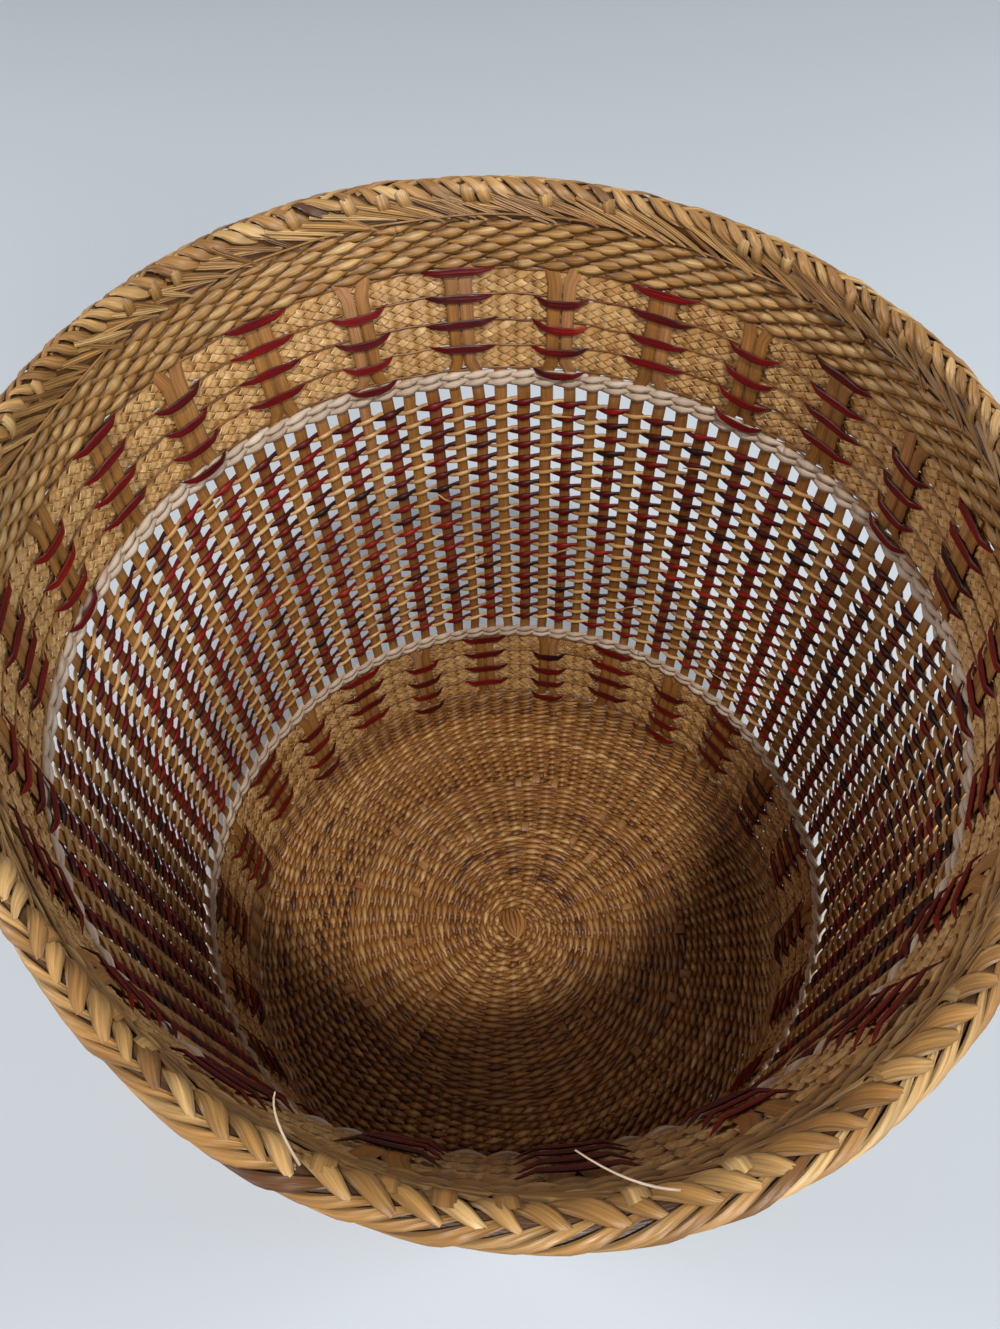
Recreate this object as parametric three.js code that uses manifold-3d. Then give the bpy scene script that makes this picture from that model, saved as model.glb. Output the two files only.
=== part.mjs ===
// A woven straw basket: twined base and wall, two patterned bands, an openwork middle and a plaited rim.
// Millimetres, +Z up. The origin is on the floor under the centre of the base, and +Y points away from
// the viewer. The whole wall is a polygon of flat facets, one facet for each group of four stakes, so
// that the layers of stakes and weft lie parallel with an even gap between them.
import * as THREE from 'three';
import { mergeVertices } from 'three/addons/utils/BufferGeometryUtils.js';
import Module from 'manifold-3d';

// Driving dimensions
const GROUPS = 24;
const STAKES_IN_GROUP = 4;
const FOOT_RADIUS = 124.6;
const WALL_FLARE = 0.0735;
const RIM_HEIGHT = 15.5;
const RIM_SHOULDER = { height: 5.4, inside: 6, outside: 5.2 };
const RIM_BROW = { height: 12.4, inside: 4, outside: 4 };
const RIM_FOOT = { inside: 4.8, outside: 4 };
const RIM_GROOVE_DEPTH = 3.5;
const MOUTH_STRETCH = 0.102;
const MOUTH_POINT = 0.013;
const MOUTH_TURN = THREE.MathUtils.degToRad(95.25);
const MOUTH_SADDLE = 6.2;
const MOUTH_TILT = 2.7;
const TILT_TURN = THREE.MathUtils.degToRad(159);
const STAKE_WIDTH = 4.5;
const STAKE_THICKNESS = 1;
const WEFT_THICKNESS = 1.7;
const BRAID_THICKNESS = 2.6;
const BRAIDS_IN_BAND = 4;
const LADDER_WIDTH = 11;
const RED_THICKNESS = 1.2;
const RED_HEIGHT = 2.2;
const GAP = 0.35;
const JOIN_GAP = 0.7;
const JOIN_OVERLAP = 0.6;
const TWIST_GAP = 0.5;
const BASE_LAYER = 1.8;
const SPOKE_THICKNESS = 1;
const SPOKE_LENGTH = 107;
const CORNER_RADIUS = 14;
const CORNER_STEPS = 4;

// Heights of the bands and the spaces between them, from the floor up
const LOWER_WALL_TOP = 24.5;
const LOWER_BAND_HEIGHT = 44;
const CREAM_HEIGHT = 6.1;
const OPENWORK_HEIGHT = 134;
const OPENWORK_ROWS = 20;
const OPENWORK_STRAND = 2.6;
const UPPER_BAND_HEIGHT = 37;
const UPPER_WALL_HEIGHT = 13;
const BAND_SPACE = 3.2;
const OPENWORK_SPACE = 3.8;
const RIM_SPACE = 0.5;

function bandAbove(below, space, height) {
  const bottom = below + space;
  return { bottom, top: bottom + height };
}

const LOWER_BAND = bandAbove(LOWER_WALL_TOP, BAND_SPACE, LOWER_BAND_HEIGHT);
const LOWER_CREAM = bandAbove(LOWER_BAND.top, BAND_SPACE, CREAM_HEIGHT);
const OPENWORK = bandAbove(LOWER_CREAM.top, OPENWORK_SPACE, OPENWORK_HEIGHT);
const UPPER_CREAM = bandAbove(OPENWORK.top, OPENWORK_SPACE, CREAM_HEIGHT);
const UPPER_BAND = bandAbove(UPPER_CREAM.top, BAND_SPACE, UPPER_BAND_HEIGHT);
const UPPER_WALL = bandAbove(UPPER_BAND.top, BAND_SPACE, UPPER_WALL_HEIGHT);
const RIM = bandAbove(UPPER_WALL.top, RIM_SPACE, RIM_HEIGHT);
const OVAL_START = UPPER_CREAM.top + JOIN_GAP + JOIN_OVERLAP;

// Worked out from the driving dimensions
const QUARTER_TURN = Math.PI / 2;
const FACET_ANGLE = (4 * QUARTER_TURN) / GROUPS;
const CORNER_FACTOR = 2 / (1 + Math.cos(FACET_ANGLE / 2));
const STAKE_FACE = STAKE_THICKNESS / 2;
const WEFT_NEAR = STAKE_FACE + GAP;
const WEFT_FAR = WEFT_NEAR + WEFT_THICKNESS;
const BRAID_FACE = BRAID_THICKNESS / 2;
const LADDER_NEAR = BRAID_FACE + TWIST_GAP;
const LADDER_FAR = LADDER_NEAR + STAKE_THICKNESS;
const RED_NEAR = LADDER_FAR + GAP;
const RED_FAR = RED_NEAR + RED_THICKNESS;

const MERGE_DISTANCE = 1e-4;
const STRAW_ROUGHNESS = 0.75;
const COLOURS = {
  straw: 0xc8a05f,
  stake: 0x96692d,
  rim: 0xd2ac66,
  red: 0x5f1416,
  cream: 0xcdb9a0,
};

const wasm = await Module();
wasm.setup();

const basket = new THREE.Group();

function addPiece(name, geometry, color) {
  const material = new THREE.MeshStandardMaterial({ color, roughness: STRAW_ROUGHNESS, metalness: 0 });
  const mesh = new THREE.Mesh(geometry, material);
  mesh.name = name;
  basket.add(mesh);
}

// The wall: a facet corner at an angle, a distance out from the middle of the wall, and a height.
// Above the upper cream row the mouth is stretched into an oval with slightly pointed ends. Its short sides
// ride up, and the whole mouth tilts a little.
function facetCorner(facet, out, height) {
  const angle = facet * FACET_ANGLE;
  const oval = THREE.MathUtils.clamp((height - OVAL_START) / (RIM.top - OVAL_START), 0, 1);
  const turned = 2 * (angle - MOUTH_TURN);
  const stretch = MOUTH_STRETCH * Math.cos(turned) + MOUTH_POINT * Math.cos(2 * turned);
  const radius = (FOOT_RADIUS + WALL_FLARE * height + out) * CORNER_FACTOR * (1 + stretch * oval);
  const rise = MOUTH_SADDLE * Math.cos(2 * angle) + MOUTH_TILT * Math.cos(angle - TILT_TURN);
  return new THREE.Vector3(radius * Math.cos(angle), radius * Math.sin(angle), height + rise * oval);
}

// A point on the wall, straight between two facet corners
function wallPoint(facetPlace, out, height) {
  const facet = Math.floor(facetPlace);
  const start = facetCorner(facet, out, height);
  const end = facetCorner(facet + 1, out, height);
  return start.lerp(end, facetPlace - facet);
}

function movePoints(geometry, place) {
  const points = geometry.attributes.position;
  for (let index = 0; index < points.count; index += 1) {
    const moved = place(points.getX(index), points.getY(index), points.getZ(index));
    points.setXYZ(index, moved.x, moved.y, moved.z);
  }
  return geometry;
}

// The same shape with its shared vertices merged, so that it is closed
function closedMesh(geometry) {
  const bare = geometry.clone();
  bare.deleteAttribute('normal');
  bare.deleteAttribute('uv');
  return mergeVertices(bare, MERGE_DISTANCE);
}

function toSolid(geometry) {
  const mesh = closedMesh(geometry);
  const vertProperties = new Float32Array(mesh.attributes.position.array);
  const triVerts = new Uint32Array(mesh.index.array);
  return new wasm.Manifold(new wasm.Mesh({ numProp: 3, vertProperties, triVerts }));
}

function toGeometry(solid) {
  const mesh = solid.getMesh();
  const geometry = new THREE.BufferGeometry();
  geometry.setAttribute('position', new THREE.BufferAttribute(new Float32Array(mesh.vertProperties), 3));
  geometry.setIndex(new THREE.BufferAttribute(new Uint32Array(mesh.triVerts), 1));
  return geometry;
}

function withNormals(geometry) {
  const finished = geometry.toNonIndexed();
  finished.computeVertexNormals();
  return finished;
}

// Rings: a closed outline of [out, height] points, turned round a plain circle and moved onto the wall
function wallRing(outline) {
  const loop = [...outline, outline[0]];
  const profile = loop.map(([out, height]) => new THREE.Vector2(FOOT_RADIUS + out, height));
  const ring = closedMesh(new THREE.LatheGeometry(profile, GROUPS));
  movePoints(ring, (x, y, z) => {
    const facet = Math.round(Math.atan2(x, z) / FACET_ANGLE);
    return facetCorner(facet, Math.hypot(x, z) - FOOT_RADIUS, y);
  });
  return withNormals(ring);
}

function bandOutline(inner, outer, bottom, top, steps = 1) {
  const outline = [];
  for (let step = 0; step <= steps; step += 1) {
    outline.push([outer, bottom + ((top - bottom) * step) / steps]);
  }
  for (let step = steps; step >= 0; step -= 1) {
    outline.push([inner, bottom + ((top - bottom) * step) / steps]);
  }
  return outline;
}

function addWeftPair(name, band, colour, gap, steps) {
  const near = STAKE_FACE + gap;
  const far = near + WEFT_THICKNESS;
  const inside = bandOutline(-far, -near, band.bottom, band.top, steps);
  const outside = bandOutline(near, far, band.bottom, band.top, steps);
  addPiece(`${name}_inner`, wallRing(inside), colour);
  addPiece(`${name}_outer`, wallRing(outside), colour);
}

// Patterned bands: flat braids between the ladders, and red rows on the seams in front of them
function addPatternedBand(name, band) {
  const course = (band.top - band.bottom) / BRAIDS_IN_BAND;
  for (let index = 0; index < BRAIDS_IN_BAND; index += 1) {
    const bottom = band.bottom + index * course + GAP / 2;
    const top = band.bottom + (index + 1) * course - GAP / 2;
    const outline = bandOutline(-BRAID_FACE, BRAID_FACE, bottom, top);
    addPiece(`${name}_braid_${index + 1}`, wallRing(outline), COLOURS.straw);
  }
  for (let index = 0; index <= BRAIDS_IN_BAND; index += 1) {
    const seam = band.bottom + index * course;
    const outline = [
      [-RED_NEAR, seam - RED_HEIGHT / 2],
      [-RED_NEAR, seam + RED_HEIGHT / 2],
      [-RED_FAR, seam],
    ];
    addPiece(`${name}_red_row_${index + 1}`, wallRing(outline), COLOURS.red);
  }
}

// Openwork weft: one unbroken three-sided strand wound round the stakes, one turn for each row
function windOpenwork(near, far) {
  const steps = OPENWORK_ROWS * GROUPS;
  const half = OPENWORK_STRAND / 2;
  const section = new THREE.Shape();
  section.moveTo(0, 0);
  section.lineTo(1, 0);
  section.lineTo(0, 1);
  const strand = new THREE.ExtrudeGeometry(section, { depth: steps, steps, bevelEnabled: false });
  return withNormals(movePoints(closedMesh(strand), (x, y, z) => {
    const height = OPENWORK.bottom + (OPENWORK_HEIGHT * z) / steps;
    const side = near > far ? 1 : -1;
    const out = x > 0.5 ? far : near;
    const lift = x > 0.5 ? 0 : side * (y > 0.5 ? half : -half);
    return facetCorner(Math.round(z), out, height + lift);
  }));
}

// Stakes: a group of four, joined into plates where tight twining hides them
function addStakeGroup(group) {
  const share = (height) => FACET_ANGLE * (FOOT_RADIUS + WALL_FLARE * height);
  const middle = (OPENWORK.bottom + OPENWORK.top) / 2;
  const pitch = share(middle) / STAKES_IN_GROUP;
  const slot = pitch - STAKE_WIDTH;
  const plateWidth = share(middle) - slot;

  function block(width, bottom, top, thickness, centre) {
    const box = new THREE.BoxGeometry(width, top - bottom, thickness);
    return toSolid(box.translate(centre, (bottom + top) / 2, 0));
  }

  function plate(bottom, top) {
    return block(plateWidth, bottom, top, STAKE_THICKNESS, 0);
  }

  // Two stakes drawn together as one ladder, stepping past the braids on one side of the wall
  function ladder(side, band, [startJoin, endJoin], splits) {
    const from = band.bottom;
    const to = band.top;
    const near = side * LADDER_NEAR;
    const far = side * LADDER_FAR;
    const back = -side * STAKE_FACE;
    const outline = [[back, startJoin], [far, startJoin]];
    for (let index = 1; index < splits; index += 1) {
      outline.push([far, from + ((to - from) * index) / splits]);
    }
    outline.push([far, endJoin], [back, endJoin], [back, to + GAP], [near, to + GAP]);
    for (let index = splits - 1; index > 0; index -= 1) {
      outline.push([near, from + ((to - from) * index) / splits]);
    }
    outline.push([near, from - GAP], [back, from - GAP]);
    const shape = new THREE.Shape(outline.map(([out, height]) => new THREE.Vector2(out, height)));
    const tongue = new THREE.ExtrudeGeometry(shape, { depth: LADDER_WIDTH, bevelEnabled: false });
    const centre = (side * plateWidth) / 4;
    return toSolid(movePoints(tongue, (x, y, z) => new THREE.Vector3(LADDER_WIDTH / 2 + centre - z, y, x)));
  }

  const stakeTop = RIM.bottom + RIM_GROOVE_DEPTH - JOIN_GAP;
  let stakes = plate(LOWER_BAND.top + GAP, OVAL_START);
  for (let index = 1; index < STAKES_IN_GROUP; index += 1) {
    const centre = (index - STAKES_IN_GROUP / 2) * pitch;
    stakes = stakes.subtract(block(slot, LOWER_CREAM.top, UPPER_CREAM.bottom, WEFT_FAR, centre));
  }
  stakes = stakes.add(plate(CORNER_RADIUS, LOWER_BAND.bottom - GAP));
  for (const side of [-1, 1]) {
    const centre = (side * plateWidth) / 4;
    stakes = stakes.add(block(LADDER_WIDTH, UPPER_BAND.top + GAP, stakeTop, STAKE_THICKNESS, centre));
    const lowerJoins = [LOWER_WALL_TOP + JOIN_GAP, LOWER_CREAM.bottom - JOIN_GAP];
    const upperJoins = [UPPER_CREAM.top + JOIN_GAP, UPPER_WALL.bottom - JOIN_GAP];
    stakes = stakes.add(ladder(side, LOWER_BAND, lowerJoins, 1));
    stakes = stakes.add(ladder(side, UPPER_BAND, upperJoins, 2));
  }
  const geometry = movePoints(toGeometry(stakes), (x, y, z) => {
    const facetPlace = group + 0.5 + x / share(middle);
    return wallPoint(facetPlace, z, y);
  });
  const label = String(group + 1).padStart(2, '0');
  addPiece(`stake_group_${label}`, withNormals(geometry), COLOURS.stake);
}

// A stretch of the turn from the base up into the wall, as an outline of its outer face and then its inner
// face. Where it ends at the wall it goes on up to the top of the lower wall.
function cornerOutline(outerFace, innerFace, level, start = 0, end = QUARTER_TURN) {
  const steps = Math.round((CORNER_STEPS * (end - start)) / QUARTER_TURN);
  const faces = [[outerFace, level], [innerFace, level + BASE_LAYER]].map(([out, floor]) => {
    const radius = CORNER_RADIUS - floor;
    const points = [];
    for (let step = 0; step <= steps; step += 1) {
      const turn = start + ((end - start) * step) / steps;
      points.push([out - radius * (1 - Math.sin(turn)), floor + radius * (1 - Math.cos(turn))]);
    }
    if (end === QUARTER_TURN) points.push([out, LOWER_WALL_TOP]);
    return points;
  });
  return [...faces[0], ...faces[1].reverse()];
}

// Flat pieces of the base: discs and the spokes between them
function baseDisc(radius, bottom, top) {
  const profile = [[0, bottom], [radius, bottom], [radius, top], [0, top]];
  const outline = profile.map(([x, y]) => new THREE.Vector2(x, y));
  const disc = new THREE.LatheGeometry(outline, GROUPS);
  return withNormals(closedMesh(disc.rotateX(Math.PI / 2).rotateZ(Math.PI / 2)));
}

function baseSpokes(bottom) {
  const halfWidth = Math.asin(STAKE_WIDTH / 2 / SPOKE_LENGTH);
  const valleyRadius = STAKE_WIDTH / 2 / Math.sin(FACET_ANGLE / 2);
  const outline = [];
  function addPoint(radius, angle) {
    outline.push(new THREE.Vector2(radius * Math.cos(angle), radius * Math.sin(angle)));
  }
  for (let spoke = 0; spoke < GROUPS; spoke += 1) {
    const angle = spoke * FACET_ANGLE;
    addPoint(SPOKE_LENGTH, angle - halfWidth);
    addPoint(SPOKE_LENGTH, angle + halfWidth);
    addPoint(valleyRadius, angle + FACET_ANGLE / 2);
  }
  const options = { depth: SPOKE_THICKNESS, bevelEnabled: false };
  const star = new THREE.ExtrudeGeometry(new THREE.Shape(outline), options);
  return withNormals(closedMesh(star.translate(0, 0, bottom)));
}

function addBase() {
  const spokeLevel = BASE_LAYER + GAP;
  const topLevel = spokeLevel + SPOKE_THICKNESS + GAP;
  const halfGap = GAP / (CORNER_RADIUS - BASE_LAYER) / 2;
  const corner = cornerOutline(WEFT_FAR, WEFT_NEAR, 0, 0, QUARTER_TURN / 2 - halfGap);
  const outside = cornerOutline(WEFT_FAR, WEFT_NEAR, 0, QUARTER_TURN / 2 + halfGap);
  const inside = cornerOutline(-WEFT_NEAR, -WEFT_FAR, topLevel);
  const underRadius = facetCorner(0, corner[0][0], 0).x - GAP;
  const topRadius = facetCorner(0, inside[0][0], topLevel).x - GAP;
  addPiece('base_weft_under', baseDisc(underRadius, 0, BASE_LAYER), COLOURS.straw);
  addPiece('base_spokes', baseSpokes(spokeLevel), COLOURS.stake);
  addPiece('base_weft_top', baseDisc(topRadius, topLevel, topLevel + BASE_LAYER), COLOURS.straw);
  addPiece('corner_weft_outer', wallRing(corner), COLOURS.straw);
  addPiece('lower_wall_weft_outer', wallRing(outside), COLOURS.straw);
  addPiece('lower_wall_weft_inner', wallRing(inside), COLOURS.straw);
}

// Rim: a rounded plait seated over the tops of the stakes
function addRim() {
  const { bottom, top } = RIM;
  const shoulder = bottom + RIM_SHOULDER.height;
  const brow = bottom + RIM_BROW.height;
  const groove = STAKE_FACE + JOIN_GAP;
  const outline = [
    [groove, bottom],
    [RIM_FOOT.outside, bottom],
    [RIM_SHOULDER.outside, shoulder],
    [RIM_BROW.outside, brow],
    [0, top],
    [-RIM_BROW.inside, brow],
    [-RIM_SHOULDER.inside, shoulder],
    [-RIM_FOOT.inside, bottom],
    [-groove, bottom],
    [-groove, bottom + RIM_GROOVE_DEPTH],
    [groove, bottom + RIM_GROOVE_DEPTH],
  ];
  addPiece('rim_plait', wallRing(outline), COLOURS.rim);
}

addBase();
addPatternedBand('lower', LOWER_BAND);
addWeftPair('lower_cream_row', LOWER_CREAM, COLOURS.cream, GAP, 1);
addPiece('openwork_weft_inner', windOpenwork(-WEFT_NEAR, -WEFT_FAR), COLOURS.red);
addPiece('openwork_weft_outer', windOpenwork(WEFT_NEAR, WEFT_FAR), COLOURS.red);
addWeftPair('upper_cream_row', UPPER_CREAM, COLOURS.cream, GAP, 1);
addPatternedBand('upper', UPPER_BAND);
addWeftPair('upper_wall_weft', UPPER_WALL, COLOURS.straw, TWIST_GAP, 2);
addRim();
for (let group = 0; group < GROUPS; group += 1) addStakeGroup(group);

const rowGap = OPENWORK_HEIGHT / OPENWORK_ROWS - OPENWORK_STRAND;
console.log(`openwork weft: ${OPENWORK_ROWS} turns, least gap between turns ${rowGap.toFixed(2)} mm`);

export default basket;
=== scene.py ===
# %% [markdown]
# # A woven straw basket
# This lesson dresses a plain model of a basket with its real weave. The real basket is made of flat straw:
# upright stakes, pairs of strands twined round them, flat braids laid in two bands, and a plaited rim. Each
# of those is a long thin strip, so the whole lesson uses one idea: lay every strip out flat, as if the wall
# were unrolled on a table, sweep a straw section along it, and roll the flat cloth up into the basket.

# %% Load the frame
import math

import bmesh
import bpy
import numpy as np
from mathutils import Matrix, Vector


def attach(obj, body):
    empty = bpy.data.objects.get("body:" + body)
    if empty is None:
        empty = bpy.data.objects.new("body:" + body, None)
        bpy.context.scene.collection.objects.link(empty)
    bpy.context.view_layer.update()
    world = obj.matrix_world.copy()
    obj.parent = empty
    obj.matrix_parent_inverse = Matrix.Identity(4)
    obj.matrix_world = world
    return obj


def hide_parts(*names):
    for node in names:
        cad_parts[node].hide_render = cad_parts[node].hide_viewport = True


SEED = 24

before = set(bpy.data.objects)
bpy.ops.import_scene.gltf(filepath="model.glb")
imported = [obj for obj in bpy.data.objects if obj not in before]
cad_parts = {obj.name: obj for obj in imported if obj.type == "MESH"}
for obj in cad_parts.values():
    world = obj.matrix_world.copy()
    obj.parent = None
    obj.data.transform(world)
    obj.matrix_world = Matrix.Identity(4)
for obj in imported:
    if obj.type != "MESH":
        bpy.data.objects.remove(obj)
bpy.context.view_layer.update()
rng = np.random.default_rng(SEED)
print("solids in the frame:", len(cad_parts))

# %% [markdown]
# ## The camera
# The photograph looks steeply down into the basket from just above its near rim. The camera is placed from
# its eye, the point it looks at and a small roll. Its lens follows from the focal length in pixels of the
# photograph, which is 1000 by 1329.

# %% Place the camera
MM = 0.001
PHOTO_HEIGHT = 1329
FOCAL_PIXELS = 1000
SENSOR_WIDTH = 36
NEAREST = 0.01
EYE = Vector((-0.9, -184.6, 482.3)) * MM
AIM = Vector((-0.9, -53.2, 300.0)) * MM
ROLL = math.radians(-2.68)

forward = (AIM - EYE).normalized()
level_side = forward.cross(Vector((0, 0, 1))).normalized()
level_up = level_side.cross(forward)
rolled_side = level_side * math.cos(ROLL) + level_up * math.sin(ROLL)
rolled_up = level_up * math.cos(ROLL) - level_side * math.sin(ROLL)
turned = Matrix((rolled_side, rolled_up, -forward)).transposed().to_4x4()
camera_data = bpy.data.cameras.new("photo_camera")
camera_data.sensor_width = SENSOR_WIDTH
camera_data.lens = SENSOR_WIDTH * FOCAL_PIXELS / PHOTO_HEIGHT
camera_data.clip_start = NEAREST
camera = bpy.data.objects.new("photo_camera", camera_data)
camera.matrix_world = Matrix.Translation(EYE) @ turned
bpy.context.collection.objects.link(camera)
bpy.context.scene.camera = camera
print("lens in millimetres:", round(camera_data.lens, 2))

# %% [markdown]
# ## The shape of the wall
# The wall stands on a flat round base, turns a rounded corner and flares as it rises. Near the mouth it is
# pulled into an oval with slightly pointed ends, whose short sides ride up, and the mouth tilts a little.
# These sizes are in millimetres, on the middle of the wall's thickness.

# %% Name the sizes of the wall
FOOT_RADIUS = 124.6
WALL_FLARE = 0.0735
RIM_TOP = 301.0
BASE_MIDDLE = 2.65
CORNER_HEIGHT = 14.0
CORNER_RADIUS = CORNER_HEIGHT - BASE_MIDDLE
BASE_START = CORNER_HEIGHT - CORNER_RADIUS * math.pi / 2
BASE_RADIUS = FOOT_RADIUS + WALL_FLARE * CORNER_HEIGHT - CORNER_RADIUS
BASE_SWIRL = 0.24
OVAL_START = 230.0
OVAL_SOFTNESS = 22.0
MOUTH_STRETCH = 0.102
MOUTH_POINT = 0.013
MOUTH_TURN = math.radians(95.25)
MOUTH_SADDLE = 6.2
MOUTH_TILT = 2.7
TILT_TURN = math.radians(159)
FLAT_RADIUS = 135.0
ROUND = 2 * math.pi * FLAT_RADIUS
print("flat radius of the base:", round(BASE_RADIUS, 1), "mm")

# %% [markdown]
# ## Rolling the flat cloth up
# A point of the flat cloth has three numbers: how far along the wall it is, how high, and how far out from
# the middle of the wall, with the inside negative. Heights below the corner carry on round it and inwards
# over the base, where the spokes swirl a little. Modifiers could bend a plain tube, but one formula takes
# in the base, the corner and the oval mouth.

# %% Roll a flat point onto the basket
def oval_share(height):
    past = height - OVAL_START
    soft = (past + OVAL_SOFTNESS) ** 2 / (4 * OVAL_SOFTNESS)
    share = np.where(past > OVAL_SOFTNESS, past, np.where(past < -OVAL_SOFTNESS, 0, soft))
    return share / (RIM_TOP - OVAL_START)


def roll_up(flat):
    along, height, out = np.asarray(flat, dtype=float).T
    past_corner = np.maximum(CORNER_HEIGHT - height, 0)
    turn = np.minimum(past_corner / CORNER_RADIUS, math.pi / 2)
    inward = np.maximum(past_corner - CORNER_RADIUS * math.pi / 2, 0)
    angle = along / FLAT_RADIUS - BASE_SWIRL * inward / BASE_RADIUS
    wall_height = np.maximum(height, CORNER_HEIGHT)
    radius = FOOT_RADIUS + WALL_FLARE * wall_height - CORNER_RADIUS * (1 - np.cos(turn)) - inward
    radius = radius + out * np.cos(turn)
    level = wall_height - (CORNER_RADIUS + out) * np.sin(turn)
    oval = oval_share(wall_height)
    doubled = 2 * (angle - MOUTH_TURN)
    radius = radius * (1 + oval * (MOUTH_STRETCH * np.cos(doubled) + MOUTH_POINT * np.cos(2 * doubled)))
    level = level + oval * (MOUTH_SADDLE * np.cos(2 * angle) + MOUTH_TILT * np.cos(angle - TILT_TURN))
    return np.column_stack((radius * np.cos(angle), radius * np.sin(angle), level)) * MM


print("a point of the mouth, in metres:", roll_up([(0, RIM_TOP, 0)])[0].round(4))

# %% [markdown]
# ## Sections of straw
# Cut across, straw is a thin flattened tube. A twisted strand is nearly round, a braid straw is flat, and a
# split straw has ridges on one face or on both. Each section is a small outline in a square two units wide,
# so it serves straws of any size. It has few points, because it is swept along thousands of steps.

# %% Outline the sections
TWISTED = np.array([(0.9, 0.42), (0, 1), (-0.9, 0.42), (-0.9, -0.42), (0, -1), (0.9, -0.42)])
FLAT = np.array([(1, 0), (0.86, 1), (-0.86, 1), (-1, 0), (-0.86, -1), (0.86, -1)])
RIDGES = np.array([(1, 0), (0.72, 0.8), (0.4, 0.5), (0, 1), (-0.4, 0.55), (-0.74, 0.85)])
RIDGED = np.concatenate((RIDGES, -RIDGES))
GROOVED = np.concatenate((RIDGES, [(-1, 0), (-0.75, -0.6), (0.75, -0.6)]))


def straw_section(shape, width, thickness):
    section = bpy.data.curves.new("straw_section", "CURVE")
    spline = section.splines.new("POLY")
    spline.points.add(len(shape) - 1)
    for point, (across, through) in zip(spline.points, shape):
        point.co = (across * width / 2, through * thickness / 2, 0, 1)
    spline.use_cyclic_u = True
    holder = bpy.data.objects.new("straw_section", section)
    bpy.context.collection.objects.link(holder)
    return holder


print("points in a section:", len(TWISTED), len(FLAT), len(RIDGED), len(GROOVED))

# %% [markdown]
# ## Sweeping a strip
# A strip of straw is a path with a tone, a width and a tilt at each point. Blender's curves sweep a section
# along hundreds of paths at once, which is quicker than extruding faces step by step. In the flat cloth the
# Z-up twist keeps every section lying flat, as it could not on the rolled wall. The swept curve becomes a
# mesh with filled ends and faces turned outwards.

# %% Sweep sections along flat paths
def strand(path, tone, radius=1.0, tilt=0.0):
    path = np.asarray(path, dtype=float)
    tones = np.broadcast_to(tone, len(path)).astype(float)
    radii = np.broadcast_to(radius, len(path)).astype(float)
    tilts = np.broadcast_to(tilt, len(path)).astype(float)
    return {"path": path, "tone": np.clip(tones, 0, 1), "radius": radii, "tilt": tilts}


def sweep(name, strands, section):
    curve = bpy.data.curves.new(name, "CURVE")
    curve.dimensions = "3D"
    curve.twist_mode = "Z_UP"
    curve.bevel_mode = "OBJECT"
    curve.bevel_object = section
    for item in strands:
        spline = curve.splines.new("POLY")
        count = len(item["path"])
        spline.points.add(count - 1)
        spline.points.foreach_set("co", np.column_stack((item["path"], np.ones(count))).ravel())
        spline.points.foreach_set("radius", item["radius"])
        spline.points.foreach_set("tilt", item["tilt"])
    holder = bpy.data.objects.new(name, curve)
    bpy.context.collection.objects.link(holder)
    bpy.context.view_layer.update()
    swept = holder.evaluated_get(bpy.context.evaluated_depsgraph_get())
    mesh = bpy.data.meshes.new_from_object(swept)
    for leftover in (holder, section):
        bpy.data.objects.remove(leftover)
    return mesh


def close_ends(mesh, sides):
    shape = bmesh.new()
    shape.from_mesh(mesh)
    open_edges = [edge for edge in shape.edges if edge.is_boundary]
    bmesh.ops.holes_fill(shape, edges=open_edges, sides=sides)
    bmesh.ops.recalc_face_normals(shape, faces=shape.faces)
    for face in shape.faces:
        face.smooth = True
    shape.to_mesh(mesh)
    shape.free()


print("a strip holds:", ", ".join(strand([(0, 0, 0)], 0.5)))

# %% [markdown]
# ## What each point remembers
# The grain runs along every strip, whichever way it lies, so a texture on the object's own coordinates
# would cut across it. Each point instead stores its place in its own straw: lengthways, across and through.
# It also stores how far to the side it is, which sets the painted shade at its edges, and the tone of the
# straw, because no two are the same colour.

# %% Store the straw's own coordinates
GRAIN_RUN = 5000


def remember_straw(mesh, strands, shape, width, thickness):
    places = []
    sides = []
    tones = []
    for item in strands:
        steps = np.linalg.norm(np.diff(item["path"], axis=0), axis=1)
        along = np.concatenate(([0], np.cumsum(steps))) + rng.uniform(0, GRAIN_RUN)
        across = np.outer(item["radius"], shape[:, 0] * width / 2)
        through = np.outer(item["radius"], shape[:, 1] * thickness / 2)
        along = np.repeat(along[:, None], len(shape), axis=1)
        places.append(np.stack((along, across, through), axis=2).reshape(-1, 3))
        sides.append(np.tile(shape[:, 0], len(item["path"])))
        tones.append(np.repeat(item["tone"], len(shape)))
    straw = mesh.attributes.new("straw", "FLOAT_VECTOR", "POINT")
    straw.data.foreach_set("vector", np.concatenate(places).ravel())
    for name, values in (("side", sides), ("tone", tones)):
        attribute = mesh.attributes.new(name, "FLOAT", "POINT")
        attribute.data.foreach_set("value", np.concatenate(values))


print("run of the grain:", GRAIN_RUN, "mm")

# %% [markdown]
# ## From strips to a piece
# A piece is a set of strips with one section and one finish. They are swept flat and rolled up, and the
# piece is tied to the basket and takes the place of the plain solids that it stands for. Edges of flat
# straw stay crisp, and twisted strands are smooth all round.

# %% Weave a piece
CRISP_EDGE = math.radians(38)
triangle_counts = {}


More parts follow.
